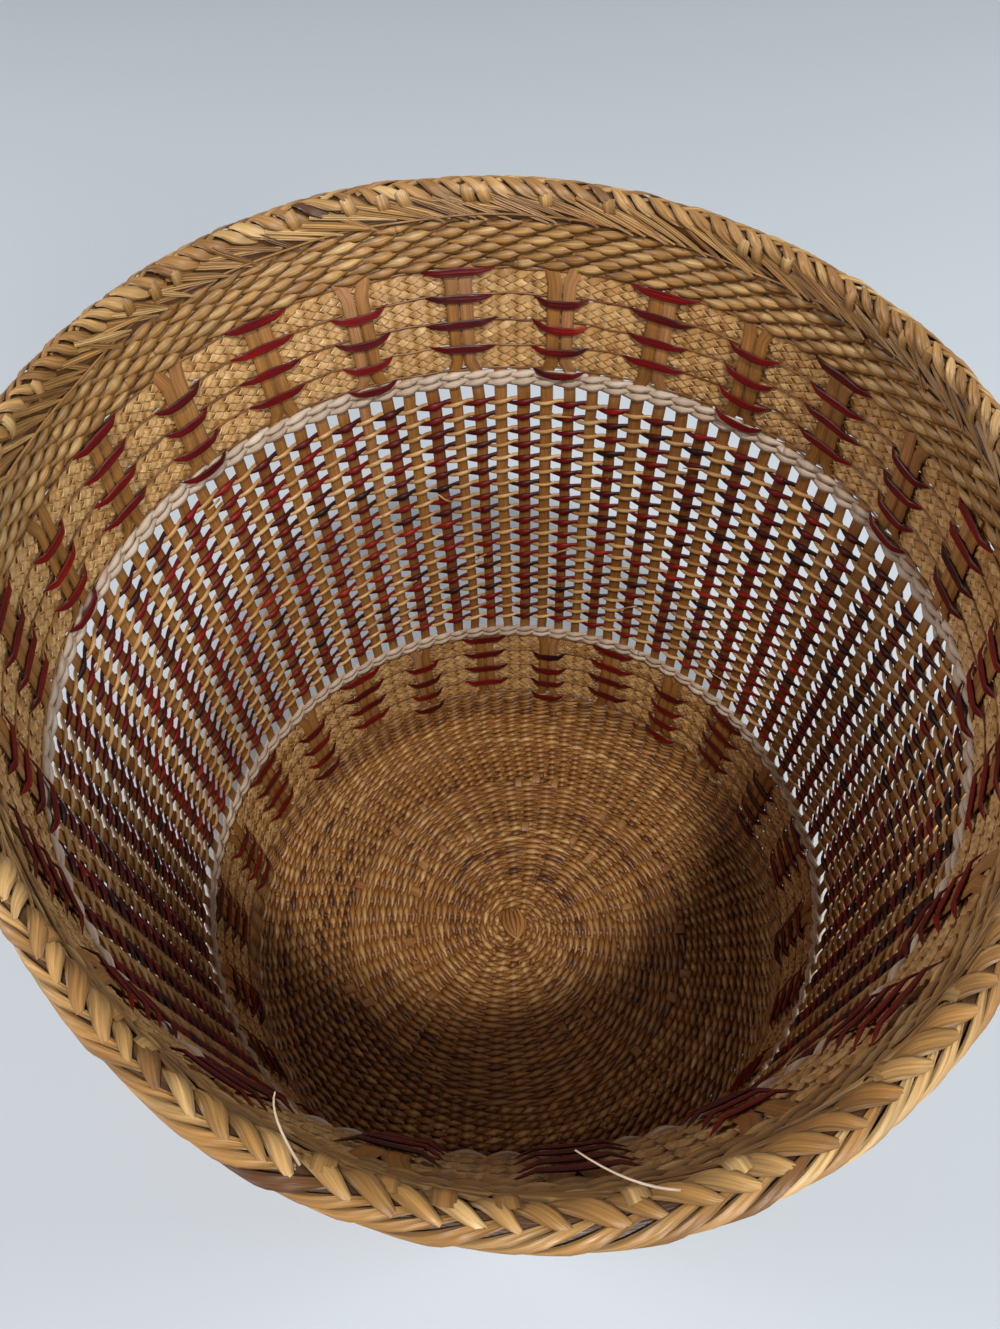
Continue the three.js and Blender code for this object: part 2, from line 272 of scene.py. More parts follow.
def weave(name, strands, shape, size, finish, nodes=(), place=roll_up):
    width, thickness = size
    mesh = sweep(name, strands, straw_section(shape, width, thickness))
    remember_straw(mesh, strands, shape, width, thickness)
    flat = np.empty(len(mesh.vertices) * 3)
    mesh.vertices.foreach_get("co", flat)
    mesh.vertices.foreach_set("co", place(flat.reshape(-1, 3)).ravel())
    close_ends(mesh, len(shape))
    if shape is not TWISTED:
        mesh.set_sharp_from_angle(angle=CRISP_EDGE)
    mesh.materials.append(finish)
    piece = bpy.data.objects.new(name, mesh)
    bpy.context.collection.objects.link(piece)
    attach(piece, "root")
    if nodes:
        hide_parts(*nodes)
    triangle_counts[name] = sum(len(face.vertices) - 2 for face in mesh.polygons)
    print(name, len(strands), "straws,", triangle_counts[name], "triangles")


print("edges are crisp from", round(math.degrees(CRISP_EDGE)), "degrees")

# %% [markdown]
# ## The grain of straw
# Dry straw has fine grooves along its length, longer pale and dark streaks, and wide soft blotches. Noise
# drawn out along the straw's own coordinates gives all three, never repeats and needs no picture. The
# finishes share it, so it is one node group with three named outputs.

# %% Build the grain group
GRAIN_NOISE = {"Streak": ((0.07, 2.2, 2.2), 3), "Blotch": ((0.06, 0.25, 0.25), 2),
               "Groove": ((0.12, 4.5, 4.5), 2)}


def grain_group():
    group = bpy.data.node_groups.new("straw_grain", "ShaderNodeTree")
    for name in GRAIN_NOISE:
        group.interface.new_socket(name, in_out="OUTPUT", socket_type="NodeSocketFloat")
    nodes = group.nodes
    links = group.links
    output = nodes.new("NodeGroupOutput")
    straw = nodes.new("ShaderNodeAttribute")
    straw.attribute_name = "straw"
    for name, (scale, detail) in GRAIN_NOISE.items():
        mapping = nodes.new("ShaderNodeMapping")
        mapping.inputs["Scale"].default_value = scale
        noise = nodes.new("ShaderNodeTexNoise")
        noise.inputs["Scale"].default_value = 1
        noise.inputs["Detail"].default_value = detail
        links.new(straw.outputs["Vector"], mapping.inputs["Vector"])
        links.new(mapping.outputs["Vector"], noise.inputs["Vector"])
        links.new(noise.outputs["Fac"], output.inputs[name])
    return group


GRAIN = grain_group()
print("outputs of the grain group:", ", ".join(GRAIN_NOISE))

# %% [markdown]
# ## A straw finish
# A finish has a ramp of colours, from its darkest straw to its palest, and the tone of a straw picks a
# place on it. Streaks and blotches change that colour along the straw. Its edges are painted darker and its
# middle a little lighter, a painted shade of the crevices between straws. The grooves are too fine to
# model, so they go into the bump, and the streaks also vary the shine.

# %% Mix a straw finish
NOISE_RANGE = (0.3, 0.7)
BLOTCH_SHADES = (0.82, 1.16)
EDGE_RANGE = (0.4, 0.92)
MIDDLE_SHADE = 1.08
ROUGHNESS_SPREAD = 0.08
GROOVE_STRENGTH = 0.6


def linear(colour):
    # The standard curve from screen colours, 0 to 255, to the light that a shader works in
    parts = np.array(colour) / 255
    return (*np.where(parts <= 0.04045, parts / 12.92, ((parts + 0.055) / 1.055) ** 2.4), 1)


def straw_finish(name, tones, streak, roughness, groove, edge):
    material = bpy.data.materials.new(name)
    material.use_nodes = True
    nodes = material.node_tree.nodes
    links = material.node_tree.links
    shader = nodes["Principled BSDF"]
    grain = nodes.new("ShaderNodeGroup")
    grain.node_tree = GRAIN

    def stored(attribute):
        reader = nodes.new("ShaderNodeAttribute")
        reader.attribute_name = attribute
        return reader.outputs["Fac"]

    def shade(source, low, high, between=NOISE_RANGE):
        scale = nodes.new("ShaderNodeMapRange")
        limits = {"From Min": between[0], "From Max": between[1], "To Min": low, "To Max": high}
        for socket, limit in limits.items():
            scale.inputs[socket].default_value = limit
        links.new(source, scale.inputs["Value"])
        return scale.outputs["Result"]

    def multiply(first, second):
        product = nodes.new("ShaderNodeVectorMath")
        product.operation = "MULTIPLY"
        links.new(first, product.inputs[0])
        links.new(second, product.inputs[1])
        return product.outputs["Vector"]

    ramp = nodes.new("ShaderNodeValToRGB")
    stops = ramp.color_ramp.elements
    stops[0].color = linear(tones[0])
    stops[1].color = linear(tones[-1])
    for place, colour in list(zip(np.linspace(0, 1, len(tones)), tones))[1:-1]:
        stops.new(place).color = linear(colour)
    links.new(stored("tone"), ramp.inputs["Fac"])
    from_middle = nodes.new("ShaderNodeMath")
    from_middle.operation = "ABSOLUTE"
    links.new(stored("side"), from_middle.inputs[0])

    streaked = multiply(ramp.outputs["Color"], shade(grain.outputs["Streak"], 1 - streak, 1 + streak))
    blotched = multiply(streaked, shade(grain.outputs["Blotch"], *BLOTCH_SHADES))
    # Painted shade: the colour darkens towards the straw's edges and lightens a little at its middle
    edge_shaded_colour = multiply(blotched, shade(from_middle.outputs["Value"], MIDDLE_SHADE, edge, EDGE_RANGE))
    links.new(edge_shaded_colour, shader.inputs["Base Color"])
    dullness = shade(grain.outputs["Streak"], roughness + ROUGHNESS_SPREAD, roughness - ROUGHNESS_SPREAD)
    links.new(dullness, shader.inputs["Roughness"])
    bump = nodes.new("ShaderNodeBump")
    bump.inputs["Strength"].default_value = GROOVE_STRENGTH
    bump.inputs["Distance"].default_value = groove * MM
    links.new(grain.outputs["Groove"], bump.inputs["Height"])
    links.new(bump.outputs["Normal"], shader.inputs["Normal"])
    return material


print("edges darken from", EDGE_RANGE[0], "of the half width")

# %% [markdown]
# ## The six finishes
# The weft, stakes, braids and rim are natural straw in slightly different browns. The dyed red is darker,
# streaky and less shiny, and the cream cord is matt. One function makes them all, so they differ only where
# the straws do.

# %% Mix the six finishes
RED_SHINE = 0.25

# edge is how dark the painted shade at the edges of a straw goes
weft_finish = straw_finish(
    "weft_straw", [(88, 48, 20), (144, 94, 44), (168, 118, 60), (200, 156, 96)],
    streak=0.34, roughness=0.38, groove=0.14, edge=0.5)
stake_finish = straw_finish(
    "stake_straw", [(112, 58, 28), (138, 84, 38), (152, 102, 46), (172, 122, 78)],
    streak=0.34, roughness=0.45, groove=0.14, edge=0.78)
braid_finish = straw_finish(
    "braid_straw", [(108, 64, 28), (160, 110, 56), (182, 134, 76), (214, 172, 114)],
    streak=0.24, roughness=0.36, groove=0.1, edge=0.86)
rim_finish = straw_finish(
    "rim_straw", [(84, 48, 20), (144, 100, 50), (170, 126, 70), (206, 168, 110)],
    streak=0.38, roughness=0.42, groove=0.16, edge=0.6)
red_finish = straw_finish(
    "red_straw", [(38, 8, 8), (98, 9, 10), (132, 15, 11), (172, 52, 28)],
    streak=0.45, roughness=0.42, groove=0.12, edge=0.6)
red_finish.node_tree.nodes["Principled BSDF"].inputs["Specular IOR Level"].default_value = RED_SHINE
cream_finish = straw_finish(
    "cream_cord", [(150, 122, 100), (192, 168, 144), (206, 184, 162), (220, 202, 182)],
    streak=0.16, roughness=0.65, groove=0.12, edge=0.82)
print("finishes:", len(bpy.data.materials))

# %% [markdown]
# ## Stakes
# Ninety-six flat stakes run from the base to the rim, in groups of four. In each patterned band two of a
# group are drawn together as a ladder on the inside of the braids, and two pass outside them. A stake is a
# list of stops, each a height with its place along and out, and the stiff straw runs straight between them.

# %% Lay the stakes
STAKES = 96
GROUPS = 24
IN_GROUP = STAKES // GROUPS
PITCH = ROUND / STAKES
INSIDE_PAIR = 1
OUTSIDE_PAIR = 3
LOWER_BAND = (26.6, 72.4)
OPENWORK = (80.6, 222.2)
UPPER_BAND = (230.4, 269.8)
STAKE_SIZE = (4.8, 0.8)
STAKE_START = 6.0
STAKE_END = 293.0
LADDER_OUT = 1.7
LADDER_SPACING = 2.42
BEND_BEFORE = 1.5
BEND_AFTER = 4.0
CORNER_STEPS = 7
LOOSE_STEPS = 21
LADDER_WANDER = 0.12
LOOSE_RIPPLE = 0.14
LOOSE_WANDER = 0.3
LOOSE_TONES = (0.3, 0.62)
HELD_TONE = 0.7
STAKE_TONE_SPREAD = 0.12
STAKE_WIDTH_SPREAD = 0.06


def height_on_base(radius):
    return BASE_START - (BASE_RADIUS - radius)


def in_openwork(heights):
    return (heights > OPENWORK[0]) & (heights < OPENWORK[1])


def band_stops(band, own_place, ladder_place, out):
    low, high = band
    return [(low - BEND_BEFORE, own_place, 0), (low + BEND_AFTER, ladder_place, out),
            ((low + high) / 2, ladder_place, out),
            (high - BEND_AFTER, ladder_place, out), (high + BEND_BEFORE, own_place, 0)]


def stake_path(index):
    group, place = divmod(index, IN_GROUP)
    inside = place < IN_GROUP // 2
    own = (index + 0.5) * PITCH
    pair = (IN_GROUP * group + (INSIDE_PAIR if inside else OUTSIDE_PAIR)) * PITCH
    out = -LADDER_OUT if inside else LADDER_OUT
    beside = LADDER_SPACING if place % 2 else -LADDER_SPACING
    ladder = pair + beside + rng.normal(0, LADDER_WANDER)
    stops = [(height_on_base(STAKE_START), own, 0)]
    stops += band_stops(LOWER_BAND, own, ladder, out)
    stops += band_stops(UPPER_BAND, own, ladder, out)
    stops.append((STAKE_END, own, 0))
    corner = np.linspace(BASE_START, CORNER_HEIGHT, CORNER_STEPS)
    loose_run = np.linspace(*OPENWORK, LOOSE_STEPS)
    known, known_along, known_out = zip(*stops)
    heights = np.unique(np.concatenate((known, corner, loose_run)))
    along = np.interp(heights, known, known_along)
    outs = np.interp(heights, known, known_out)
    loose = in_openwork(heights)
    along = along + rng.normal(0, LOOSE_RIPPLE, len(heights)) * loose + rng.normal(0, LOOSE_WANDER) * loose
    return np.column_stack((along, heights, outs))


def stake(index):
    path = stake_path(index)
    tone = np.where(in_openwork(path[:, 1]), LOOSE_TONES[index % 2], HELD_TONE)
    tone = tone + rng.normal(0, STAKE_TONE_SPREAD)
    return strand(path, tone, rng.normal(1, STAKE_WIDTH_SPREAD))


for group in range(GROUPS):
    members = [stake(IN_GROUP * group + place) for place in range(IN_GROUP)]
    nodes = ["stake_group_%02d" % (group + 1)]
    if group == 0:
        nodes.append("base_spokes")
    weave("stakes_%02d" % (group + 1), members, RIDGED, STAKE_SIZE, stake_finish, nodes)

# %% [markdown]
# ## Twining
# In twining two strands go round together, one in front of a stake and one behind it, and change places in
# the gap. Unrolled, each is a wave: its depth follows a cosine of the stake count and its height a
# straightened sine, so every stitch leans the same way. It is thinner where it dives, and painted darker
# there, a painted shade from the stitches that cover it. Copies of one stitch would all be alike, but a
# wave can wander at every step.

# %% Follow a strand round the stakes
STITCH_FLATNESS = 0.85
STITCH_STRAIGHTNESS = 0.97
DIVE_SHADE = 0.26
ROW_WANDER = 0.14
DEPTH_WANDER = 0.08
WIDTH_WANDER = 0.06


def uneven(counts, size, every=1.0):
    # A random value for each step of the run, with a few to spare, and an even change between them
    whole = np.arange(int(np.ptp(counts) / every) + 3)
    values = rng.normal(0, size, len(whole))
    return np.interp((counts - counts.min()) / every, whole, values)


def twining_strand(bottom, rows, row_pitch, stakes, stitch, phase, steps):
    # A stitch is its depth, its lift and how much the straw thins where it dives
    depth, lift, squeeze = stitch
    counts = np.arange(int(rows * stakes * steps) + 1) / steps
    wave = math.pi * (counts + phase)
    dive = np.sin(wave) ** 2
    face = np.cos(wave)
    lean = np.arcsin(STITCH_STRAIGHTNESS * np.sin(wave)) * 2 / math.pi
    along = (counts + 0.5) * ROUND / stakes
    height = bottom + row_pitch * counts / stakes + lift * lean + uneven(counts, ROW_WANDER)
    out = depth * np.sign(face) * np.abs(face) ** STITCH_FLATNESS + uneven(counts, DEPTH_WANDER)
    radius = 1 - squeeze * dive + uneven(counts, WIDTH_WANDER)
    # The last value is a painted shade, darkest where the strand dives under its neighbours
    return np.column_stack((along, height, out)), radius, -DIVE_SHADE * dive


print("stakes lie", round(PITCH, 2), "mm apart on the flat cloth")

# %% [markdown]
# ## Straws of natural length
# One long spiral makes all the rows of a band, but straw is short, and a weaver often adds a new one. So
# the spiral is cut into straws of uneven length, each with its own tone, which drifts a little along it.
# Two strands half a wave apart make a band.

# %% Cut a strand into straws
STRAW_LENGTH = 220
LENGTH_RANGE = (0.7, 1.3)
LEAST_POINTS = 12
TONE_POINTS = 12
TONE_DRIFT = 0.06


def cut_into_straws(path, radius, shade, length, middle_tone, tone_spread, drift=TONE_DRIFT, tilt=0.0):
    steps = np.linalg.norm(np.diff(path, axis=0), axis=1)
    per_straw = max(LEAST_POINTS, int(length / steps.mean()))
    tilts = np.broadcast_to(tilt, len(path))
    straws = []
    start = 0
    while start < len(path) - 2:
        end = min(len(path), start + int(per_straw * rng.uniform(*LENGTH_RANGE)))
        if len(path) - end < LEAST_POINTS:
            end = len(path)
        own = slice(start, end)
        tone = rng.normal(middle_tone, tone_spread)
        tone = tone + uneven(np.arange(end - start), drift, TONE_POINTS)
        straws.append(strand(path[own], tone + shade[own], radius[own], tilts[own]))
        start = end - 1
    return straws


def twined_band(bottom, rows, row_pitch, stakes, stitch, steps, tone):
    # A tone is its middle, its spread from straw to straw and its drift along one
    straws = []
    for phase in (0, 1):
        whole = twining_strand(bottom, rows, row_pitch, stakes, stitch, phase, steps)
        straws += cut_into_straws(*whole, STRAW_LENGTH, *tone)
    return straws


print("straws are about", STRAW_LENGTH, "mm long")

# %% [markdown]
# ## The twined base
# The base is twined over spokes: twelve at the centre, and further out, where stakes are added,
# twenty-four, forty-eight and at the edge all ninety-six. Each ring is a band of twining whose rows lie
# below the corner on the flat cloth, so rolling up carries them inwards.

# %% Twine the base
BASE_PITCH = 3.0
CENTRE_RADIUS = 2.0
CENTRE_ROWS = 5
GROUP_ROWS = 11
PAIR_ROWS = 11
SPOKE_RADIUS = CENTRE_RADIUS + CENTRE_ROWS * BASE_PITCH
GROUP_RADIUS = SPOKE_RADIUS + GROUP_ROWS * BASE_PITCH
PAIR_RADIUS = GROUP_RADIUS + PAIR_ROWS * BASE_PITCH
BASE_RINGS = ((CENTRE_RADIUS, CENTRE_ROWS, GROUPS // 2), (SPOKE_RADIUS, GROUP_ROWS, GROUPS),
              (GROUP_RADIUS, PAIR_ROWS, 2 * GROUPS))
TIGHT_SIZE = (3.3, 2.1)
TIGHT_STITCH = (0.95, 0.92, 0.4)
TIGHT_TONE = (0.6, 0.17, 0.09)
TWINING_STEPS = 6
EDGE_STEPS = 5


def rows_in(length):
    rows = round(length / BASE_PITCH)
    return rows, length / rows


def tight_band(bottom, rows, row_pitch, stakes, steps=TWINING_STEPS):
    return twined_band(bottom, rows, row_pitch, stakes, TIGHT_STITCH, steps, TIGHT_TONE)


centre = []
for radius, rows, spokes in BASE_RINGS:
    centre += tight_band(height_on_base(radius), rows, BASE_PITCH, spokes)
weave("base_centre_twining", centre, TWISTED, TIGHT_SIZE, weft_finish, ["base_weft_top"])
edge_rows = rows_in(BASE_RADIUS - PAIR_RADIUS)
edge = tight_band(height_on_base(PAIR_RADIUS), *edge_rows, STAKES, EDGE_STEPS)
weave("base_edge_twining", edge, TWISTED, TIGHT_SIZE, weft_finish, ["base_weft_under"])

# %% [markdown]
# ## The plain walls
# Tight twining carries on from the base round the corner, up to the lower braids. Just below the rim the
# twining is paler, wider and flatter. Its stitches are longer, and since a row does not hold a whole number
# of them, each row lies half a stitch on from the row under it.

# %% Twine the plain walls
LOWER_WALL_TOP = LOWER_BAND[0] - 0.8
UPPER_WALL = (270.9, 288.0)
UPPER_ROWS = 6
UPPER_STITCHES = 74.5
UPPER_SIZE = (3.9, 1.7)
UPPER_STITCH = (0.95, 0.86, 0.5)
UPPER_TONE = (0.72, 0.15, 0.1)
UPPER_STEPS = 8

lower_wall = tight_band(BASE_START, *rows_in(LOWER_WALL_TOP - BASE_START), STAKES)
weave("lower_wall_twining", lower_wall, TWISTED, TIGHT_SIZE, weft_finish,
      ["lower_wall_weft_inner", "lower_wall_weft_outer", "corner_weft_outer"])
upper_pitch = (UPPER_WALL[1] - UPPER_WALL[0]) / UPPER_ROWS
upper_wall = twined_band(UPPER_WALL[0], UPPER_ROWS, upper_pitch, UPPER_STITCHES, UPPER_STITCH,
                         UPPER_STEPS, UPPER_TONE)
weave("upper_wall_twining", upper_wall, TWISTED, UPPER_SIZE, rim_finish,
      ["upper_wall_weft_inner", "upper_wall_weft_outer"])

# %% [markdown]
# ## Cream rows
# Above and below the openwork two courses of pale soft cord are twined as the walls are. Only the size, the
# stitch and the finish differ, so the same function makes them.

# %% Twine the cream rows
CREAM_BOTTOMS = {"lower": 73.6, "upper": 223.5}
CREAM_PITCH = 3.3
CREAM_ROWS = 2
CREAM_SIZE = (3.8, 2.0)
CREAM_STITCH = (0.95, 0.9, 0.38)
CREAM_TONE = (0.72, 0.14)

for name, bottom in CREAM_BOTTOMS.items():
    cords = twined_band(bottom, CREAM_ROWS, CREAM_PITCH, STAKES, CREAM_STITCH, TWINING_STEPS, CREAM_TONE)
    weave(name + "_cream_twining", cords, TWISTED, CREAM_SIZE, cream_finish,
          [name + "_cream_row_inner", name + "_cream_row_outer"])

# %% [markdown]
# ## Openwork
# The middle of the wall is open: about twenty rows of thin twining cross the stakes with clear gaps between
# them. One strand is natural and one dyed dark red, and because the number of stakes is even the same
# colour comes to the front of a stake on every row, which makes red and natural columns. The gaps are real,
# so nothing has to be cut or made see-through.

# %% Twine the openwork
OPEN_ROWS = 20
OPEN_LENGTH = 300
FIRST_ROW = 0.75
OPEN_RED_SIZE = (3.2, 1.8)
OPEN_RED_STITCH = (1.05, 1.0, 0.42)
OPEN_RED_TONE = (0.38, 0.16, 0.16)
OPEN_PALE_SIZE = (1.9, 1.5)
OPEN_PALE_STITCH = (1.0, 1.0, 0.15)
OPEN_PALE_TONE = (0.85, 0.14, 0.08)

open_pitch = (OPENWORK[1] - OPENWORK[0]) / OPEN_ROWS
open_bottom = OPENWORK[0] + FIRST_ROW * open_pitch


def openwork_straws(stitch, phase, tone):
    whole = twining_strand(open_bottom, OPEN_ROWS - 1, open_pitch, STAKES, stitch, phase, TWINING_STEPS)
    return cut_into_straws(*whole, OPEN_LENGTH, *tone)


weave("openwork_red_strand", openwork_straws(OPEN_RED_STITCH, 1, OPEN_RED_TONE), TWISTED, OPEN_RED_SIZE,
      red_finish, ["openwork_weft_inner"])
weave("openwork_natural_strand", openwork_straws(OPEN_PALE_STITCH, 0, OPEN_PALE_TONE), TWISTED,
      OPEN_PALE_SIZE, braid_finish, ["openwork_weft_outer"])

# %% [markdown]
# ## Flat braids
# Each patterned band holds four flat braids of five straws. Every straw runs to and fro between the two
# edges as a triangle wave, crosses the others at even steps, over and under by turns, and folds at the
# edges. A bump texture could suggest this, but real straws catch the light as a braid does. Each tilts as
# it goes down under the next, so that what shows of it is a long diamond.

# %% Follow a straw through its braid
BRAID_STRAWS = 5
BRAID_PERIODS = 28
BRAID_PERIOD = ROUND / BRAID_PERIODS
BRAID_RISE = 0.6
BRAID_TILT = 0.46
BRAID_WANDER = 0.1
BRAID_WIDTH_SPREAD = 0.04
BRAID_SHADE_SPREAD = 0.07
CROSSINGS = 2 * BRAID_STRAWS
CROSSING_PARTS = np.array((-0.38, 0, 0.38))
PARTS = len(CROSSING_PARTS)
PART_RISES = np.array((0.7, 1, 0.7))
PART_WIDTHS = np.array((0.98, 1.0, 0.98))
# Painted shade at the ends of each crossing, where a straw dives under the next, painted light at its
# middle
PART_SHADES = np.array((-0.16, 0.08, -0.16))


def braid_straw(centre, half_width, start):
    crossings = np.arange(BRAID_PERIODS * CROSSINGS + 1)
    place = (crossings + 2 * start) % CROSSINGS
    rising = place < BRAID_STRAWS
    fold = place % BRAID_STRAWS == 0
    over = np.where(place % 2 == 0, 1, -1) * np.where(rising, 1, -1) * ~fold
    steps = np.add.outer(crossings, CROSSING_PARTS).ravel()
    moved = (steps + 2 * start) % CROSSINGS
    wave = np.where(moved < BRAID_STRAWS, moved, CROSSINGS - moved) / BRAID_STRAWS * 2 - 1
    height = centre + half_width * wave + np.repeat(rng.normal(0, BRAID_WANDER, len(crossings)), PARTS)
    out = BRAID_RISE * np.outer(over, PART_RISES).ravel()
    path = np.column_stack((steps * BRAID_PERIOD / CROSSINGS, height, out))
    radius = np.tile(PART_WIDTHS, len(crossings)) + uneven(steps, BRAID_WIDTH_SPREAD)
    own_shade = np.repeat(rng.normal(0, BRAID_SHADE_SPREAD, len(crossings)), PARTS)
    # The part shades are painted shade and light; the random share is the straw's own tone
    shade = np.tile(PART_SHADES, len(crossings)) + own_shade
    turn = np.where(rising, -BRAID_TILT, BRAID_TILT) * over
    tilt = np.outer(turn, np.sin(math.pi * CROSSING_PARTS)).ravel()
    return path, radius, shade, tilt


print("a straw crosses its braid every", round(BRAID_PERIOD / 2, 1), "mm")

# %% [markdown]
# ## Eight braids
# The braids lie one above the other and fill their band, with a narrow seam between them. Their straws are
# as wide as the slant of the braid leaves room for, and a little more, so that no gap shows.

# %% Plait the flat braids
BRAIDS_IN_BAND = 4
BRAID_EDGE = 0.9
BRAID_THICKNESS = 0.6
BRAID_OVERLAP = 1.02
BRAID_LENGTH = 240
BRAID_TONE = (0.86, 0.12)
BANDS = {"lower": LOWER_BAND, "upper": UPPER_BAND}


def band_course(band):
    return (band[1] - band[0]) / BRAIDS_IN_BAND


for name, band in BANDS.items():
    course = band_course(band)
    half_width = course / 2 - BRAID_EDGE
    slant = math.atan2(4 * half_width, BRAID_PERIOD)
    straw_width = BRAID_OVERLAP * math.sin(slant) * BRAID_PERIOD / BRAID_STRAWS
    for index in range(BRAIDS_IN_BAND):
        centre = band[0] + (index + 0.5) * course
        straws = []
        for start in range(BRAID_STRAWS):
            path, radius, shade, tilt = braid_straw(centre, half_width, start)
            straws += cut_into_straws(path, radius, shade, BRAID_LENGTH, *BRAID_TONE, tilt=tilt)
        weave("%s_braid_%d_plait" % (name, index + 1), straws, FLAT, (straw_width, BRAID_THICKNESS),
              braid_finish, ["%s_braid_%d" % (name, index + 1)])

# %% [markdown]
# ## Red stitches
# Five rows of dark red straw run along the seams of each band. A row comes to the inside over a ladder,
# where it shows as a lens-shaped stitch, and passes to the outside between ladders. Every second ladder has
# long flat stitches, the others shorter ones that sag. A row is one strip, whose width swells at each
# stitch and nearly vanishes where it passes through the braids.

# %% Shape a red row
LONG_STITCH = 12.0
SHORT_STITCH = 10.0
STITCH_RANGE = (0.92, 1.06)
STITCH_SAG = 2.2
SAG_RANGE = (0.7, 1.15)
SAG_WANDER = 0.25
STITCH_SKEW = 0.35
STITCH_OUT = LADDER_OUT + 1.0
STITCH_STEPS = np.linspace(-1, 1, 11)
STITCH_WIDTHS = np.sqrt(np.maximum(1 - np.abs(STITCH_STEPS) ** 1.6, 0.012))
STITCH_REACHES = np.minimum(1, 1.9 * (1 - np.abs(STITCH_STEPS)) + 0.25)
OUTSIDE_STITCH = 4.5
OUTSIDE_WIDTH = 0.85
RED_TONE = 0.33
RED_TONE_SPREAD = 0.14


def red_stitch(middle, seam, half, sag, out):
    skew = rng.normal(0, STITCH_SKEW) * STITCH_STEPS
    along = middle + half * STITCH_STEPS
    height = seam + sag * (1 - STITCH_STEPS ** 2) + skew
    return np.column_stack((along, height, out * STITCH_REACHES))


def red_row(seam, skips_long):
    paths = []
    widths = []
    for ladder in range(GROUPS):
        inside = (IN_GROUP * ladder + INSIDE_PAIR) * PITCH
        outside = (IN_GROUP * ladder + OUTSIDE_PAIR) * PITCH
        is_long = ladder % 2 == 0
        half = (LONG_STITCH if is_long else SHORT_STITCH) * rng.uniform(*STITCH_RANGE)
        sag = rng.normal(0, SAG_WANDER) if is_long else -STITCH_SAG * rng.uniform(*SAG_RANGE)
        if is_long != skips_long:
            paths.append(red_stitch(inside, seam, half, sag, -STITCH_OUT))
            widths.append(STITCH_WIDTHS)
        paths.append(red_stitch(outside, seam, OUTSIDE_STITCH, 0, STITCH_OUT))
        widths.append(OUTSIDE_WIDTH * STITCH_WIDTHS)
    path = np.concatenate(paths)
    tone = RED_TONE + uneven(np.arange(len(path)), RED_TONE_SPREAD, len(STITCH_STEPS))
    return strand(path, tone, np.concatenate(widths))


print("points in a red stitch:", len(STITCH_STEPS))

# %% [markdown]
# ## Red rows and seams
# The rows are laid on the seams, with thin dark strands on both faces that close the seam where no red
# shows. The top row skips the ladders with short stitches and the bottom row those with long ones. Rows
# that the table leaves out skip none.

# %% Stitch the red rows
RED_SIZES = {"lower": (4.3, 1.1), "upper": (3.5, 1.0)}
ROW_SKIPS_LONG = {0: True, BRAIDS_IN_BAND: False}
SEAM_SIZE = (0.8, 0.6)
SEAM_OUT = 0.5
SEAM_WANDER = (0.3, 6)
SEAM_TONE = 0.1
SEAM_TONE_DRIFT = (0.1, 40)
SEAM_POINTS = 4 * STAKES + 1


def seam_strand(seam, out):
    along = np.linspace(0, ROUND, SEAM_POINTS)
    height = seam + uneven(along, *SEAM_WANDER)
    tone = SEAM_TONE + uneven(along, *SEAM_TONE_DRIFT)
    return strand(np.column_stack((along, height, np.full(len(along), out))), tone)


for name, band in BANDS.items():
    seams = [band[0] + index * band_course(band) for index in range(BRAIDS_IN_BAND + 1)]
    for index, seam in enumerate(seams):
        weave("%s_red_stitches_%d" % (name, index + 1), [red_row(seam, ROW_SKIPS_LONG.get(index))], RIDGED,
              RED_SIZES[name], red_finish, ["%s_red_row_%d" % (name, index + 1)])
    thin = [seam_strand(seam, out) for seam in seams for out in (-SEAM_OUT, SEAM_OUT)]
    weave(name + "_seam_strands", thin, TWISTED, SEAM_SIZE, braid_finish)

# %% [markdown]
# ## Folding over the rim
# On the real rim the stake ends are turned over the edge and plaited. That needs a second flat cloth, whose
# middle line lies along the top of the rim. A point on it has a place along the rim, a distance down from
# the top, outside positive and inside negative, and a lift. The cloth is folded over a rounded edge and
# then rolled up with the rest.

# %% Fold strips over the rim
RIM_ROUND = 2.4
RIM_DROP = 1.2
RIM_CENTRE = RIM_TOP - RIM_ROUND - RIM_DROP
RIM_LEAN = 1.1
RIM_TONE = 0.6
RIM_TONE_SPREAD = 0.2


def fold_over_rim(flat):
    along, down, lift = np.asarray(flat, dtype=float).T
    quarter = RIM_ROUND * math.pi / 2
    turn = np.clip(down / RIM_ROUND, -math.pi / 2, math.pi / 2)
    drop = np.maximum(np.abs(down) - quarter, 0)
    out = RIM_LEAN + (RIM_ROUND + lift) * np.sin(turn)
    height = RIM_CENTRE + (RIM_ROUND + lift) * np.cos(turn) - drop
    return roll_up(np.column_stack((along, height, out)))


def leaning_strip(start, end, lifts, widths, points, tilt, tone=RIM_TONE):
    share = np.linspace(0, 1, points)
    along = start[0] + (end[0] - start[0]) * share
    down = start[1] + (end[1] - start[1]) * share
    lift = np.interp(share, np.linspace(0, 1, len(lifts)), lifts)
    width = np.interp(share, np.linspace(0, 1, len(widths)), widths)
    return strand(np.column_stack((along, down, lift)), rng.normal(tone, RIM_TONE_SPREAD), width, tilt)


print("the rim folds at", round(RIM_CENTRE, 1), "mm")

# %% [markdown]
# ## The herringbone
# Long strips come up the outside and leaf-shaped ones up the inside. Both lean the same way round until
# they meet at a spine on top. Each strip rises in its middle and dips under its neighbours at its ends. It
# slips, lifts and widens a little by chance, because equal strips would look machine-made.

